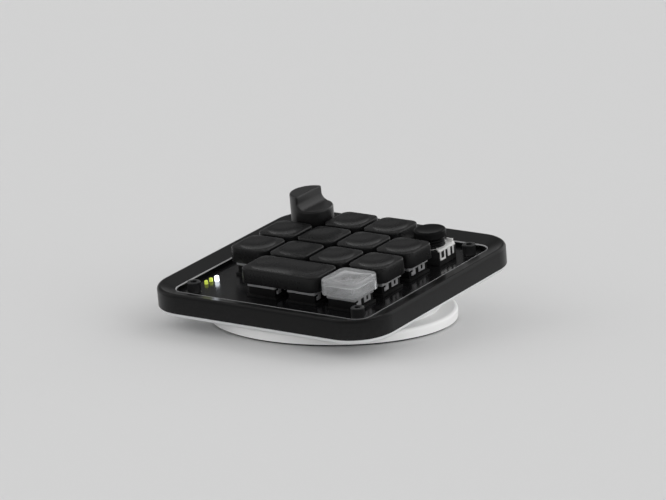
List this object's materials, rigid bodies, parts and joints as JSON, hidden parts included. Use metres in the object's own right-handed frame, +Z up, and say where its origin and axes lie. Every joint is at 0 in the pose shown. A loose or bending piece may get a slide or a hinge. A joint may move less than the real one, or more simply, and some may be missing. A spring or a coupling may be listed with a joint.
{
  "type": "macro keypad with knobs",
  "caption": "Square black macro keypad with dished keys and two rotary knobs, tilted on a round white stand.",
  "frame": {"origin": "centre of the stand's flat underside, on the table, straight below the swivel's centre", "axes": "+Z up, +X along the key rows to the right, +Y to the raised back edge of the pad"},
  "size_m": [0.1094, 0.1092, 0.0444],
  "materials": {
    "foot_rubber": "matte",
    "stand_white": "satin",
    "ballast_steel": "zinc plated",
    "plain_screws": "zinc plated",
    "magnet_nickel": "nickel plated",
    "shell_frosted": "frosted, translucent",
    "case_black": "fine matte texture",
    "board_black": "glossy solder mask",
    "screw_black": "black oxide",
    "insert_brass": "plain",
    "socket_metal": "nickel plated",
    "chip_black": "matte",
    "lamp_white": "lit diffuser",
    "lamp_green": "lit diffuser",
    "switch_black": "satin",
    "switch_smoke": "translucent, frosted",
    "spring_steel": "plain",
    "cap_black": "fine matte texture",
    "cap_frosted": "frosted, translucent",
    "stem_grey": "satin",
    "encoder_black": "satin",
    "encoder_nickel": "bright nickel",
    "rotor_nylon": "plain",
    "shaft_metal": "turned",
    "knob_black": "soft matte"
  },
  "bodies": {
    "stand": {"rubber_foot": "foot_rubber", "base_disc": "stand_white", "steel_weight": "ballast_steel", "wedge_hub": "stand_white", "hub_screws": "plain_screws", "hub_magnets": "magnet_nickel"},
    "pad": {"bottom_shell": "shell_frosted", "keeper_plate": "ballast_steel", "brass_inserts": "insert_brass", "case_frame": "case_black", "circuit_board": "board_black", "corner_screws": "screw_black", "usb_socket": "socket_metal", "controller_chip": "chip_black", "status_lamp": "lamp_white", "layer_lamps": "lamp_green", "switch_bases_row_1": "switch_black", "switch_bases_row_2": "switch_black", "switch_bases_row_3": "switch_black", "switch_bases_row_4": "switch_black", "switch_covers_row_1": "switch_smoke", "switch_covers_row_2": "switch_smoke", "switch_covers_row_3": "switch_smoke", "switch_covers_row_4": "switch_smoke", "switch_springs": "spring_steel", "encoder_base_tall": "encoder_black", "encoder_frame_tall": "encoder_nickel", "encoder_base_round": "encoder_black", "encoder_frame_round": "encoder_nickel"},
    "key_r1c2": {"keycap_r1c2": "cap_black", "key_stem_r1c2": "stem_grey"},
    "key_r1c3": {"keycap_r1c3": "cap_black", "key_stem_r1c3": "stem_grey"},
    "key_r2c1": {"keycap_r2c1": "cap_black", "key_stem_r2c1": "stem_grey"},
    "key_r2c2": {"keycap_r2c2": "cap_black", "key_stem_r2c2": "stem_grey"},
    "key_r2c3": {"keycap_r2c3": "cap_black", "key_stem_r2c3": "stem_grey"},
    "key_r2c4": {"keycap_r2c4": "cap_black", "key_stem_r2c4": "stem_grey"},
    "key_r3c1": {"keycap_r3c1": "cap_black", "key_stem_r3c1": "stem_grey"},
    "key_r3c2": {"keycap_r3c2": "cap_black", "key_stem_r3c2": "stem_grey"},
    "key_r3c3": {"keycap_r3c3": "cap_black", "key_stem_r3c3": "stem_grey"},
    "key_r3c4": {"keycap_r3c4": "cap_black", "key_stem_r3c4": "stem_grey"},
    "key_r4c4": {"keycap_r4c4": "cap_frosted", "key_stem_r4c4": "stem_grey"},
    "key_wide": {"keycap_wide": "cap_black", "key_stem_wide_left": "stem_grey", "key_stem_wide_right": "stem_grey"},
    "rotor_tall": {"encoder_rotor_tall": "rotor_nylon"},
    "dial_tall": {"encoder_shaft_tall": "shaft_metal", "knob_tall": "knob_black"},
    "rotor_round": {"encoder_rotor_round": "rotor_nylon"},
    "dial_round": {"encoder_shaft_round": "shaft_metal", "knob_round": "knob_black"}
  },
  "joints": [
    {"name": "pad_swivel", "type": "hinge", "parent": "stand", "child": "pad", "pos_m": [0, 0, 0.012], "axis": [0, -0.1288, 0.9917], "continuous": true},
    {"name": "key_r1c2_press", "type": "slide", "parent": "pad", "child": "key_r1c2", "axis": [0, 0.1288, -0.9917], "range_m": [0, 0.003], "stiffness_N_per_m": 100, "springref_m": -0.003, "deforming": ["switch_springs"]},
    {"name": "key_r1c3_press", "type": "slide", "parent": "pad", "child": "key_r1c3", "axis": [0, 0.1288, -0.9917], "range_m": [0, 0.003], "stiffness_N_per_m": 100, "springref_m": -0.003, "deforming": ["switch_springs"]},
    {"name": "key_r2c1_press", "type": "slide", "parent": "pad", "child": "key_r2c1", "axis": [0, 0.1288, -0.9917], "range_m": [0, 0.003], "stiffness_N_per_m": 100, "springref_m": -0.003, "deforming": ["switch_springs"]},
    {"name": "key_r2c2_press", "type": "slide", "parent": "pad", "child": "key_r2c2", "axis": [0, 0.1288, -0.9917], "range_m": [0, 0.003], "stiffness_N_per_m": 100, "springref_m": -0.003, "deforming": ["switch_springs"]},
    {"name": "key_r2c3_press", "type": "slide", "parent": "pad", "child": "key_r2c3", "axis": [0, 0.1288, -0.9917], "range_m": [0, 0.003], "stiffness_N_per_m": 100, "springref_m": -0.003, "deforming": ["switch_springs"]},
    {"name": "key_r2c4_press", "type": "slide", "parent": "pad", "child": "key_r2c4", "axis": [0, 0.1288, -0.9917], "range_m": [0, 0.003], "stiffness_N_per_m": 100, "springref_m": -0.003, "deforming": ["switch_springs"]},
    {"name": "key_r3c1_press", "type": "slide", "parent": "pad", "child": "key_r3c1", "axis": [0, 0.1288, -0.9917], "range_m": [0, 0.003], "stiffness_N_per_m": 100, "springref_m": -0.003, "deforming": ["switch_springs"]},
    {"name": "key_r3c2_press", "type": "slide", "parent": "pad", "child": "key_r3c2", "axis": [0, 0.1288, -0.9917], "range_m": [0, 0.003], "stiffness_N_per_m": 100, "springref_m": -0.003, "deforming": ["switch_springs"]},
    {"name": "key_r3c3_press", "type": "slide", "parent": "pad", "child": "key_r3c3", "axis": [0, 0.1288, -0.9917], "range_m": [0, 0.003], "stiffness_N_per_m": 100, "springref_m": -0.003, "deforming": ["switch_springs"]},
    {"name": "key_r3c4_press", "type": "slide", "parent": "pad", "child": "key_r3c4", "axis": [0, 0.1288, -0.9917], "range_m": [0, 0.003], "stiffness_N_per_m": 100, "springref_m": -0.003, "deforming": ["switch_springs"]},
    {"name": "key_r4c4_press", "type": "slide", "parent": "pad", "child": "key_r4c4", "axis": [0, 0.1288, -0.9917], "range_m": [0, 0.003], "stiffness_N_per_m": 100, "springref_m": -0.003, "deforming": ["switch_springs"]},
    {"name": "key_wide_press", "type": "slide", "parent": "pad", "child": "key_wide", "axis": [0, 0.1288, -0.9917], "range_m": [0, 0.003], "stiffness_N_per_m": 200, "springref_m": -0.003, "deforming": ["switch_springs"]},
    {"name": "knob_tall_turn", "type": "hinge", "parent": "pad", "child": "rotor_tall", "pos_m": [-0.02857, 0.02754, 0.02183], "axis": [0, -0.1288, 0.9917], "continuous": true},
    {"name": "knob_tall_push", "type": "slide", "parent": "rotor_tall", "child": "dial_tall", "axis": [0, 0.1288, -0.9917], "range_m": [0, 0.0005], "stiffness_N_per_m": 2000, "springref_m": -0.0005},
    {"name": "knob_round_turn", "type": "hinge", "parent": "pad", "child": "rotor_round", "pos_m": [0.02857, 0.02754, 0.02183], "axis": [0, -0.1288, 0.9917], "continuous": true},
    {"name": "knob_round_push", "type": "slide", "parent": "rotor_round", "child": "dial_round", "axis": [0, 0.1288, -0.9917], "range_m": [0, 0.0005], "stiffness_N_per_m": 2000, "springref_m": -0.0005}
  ]
}
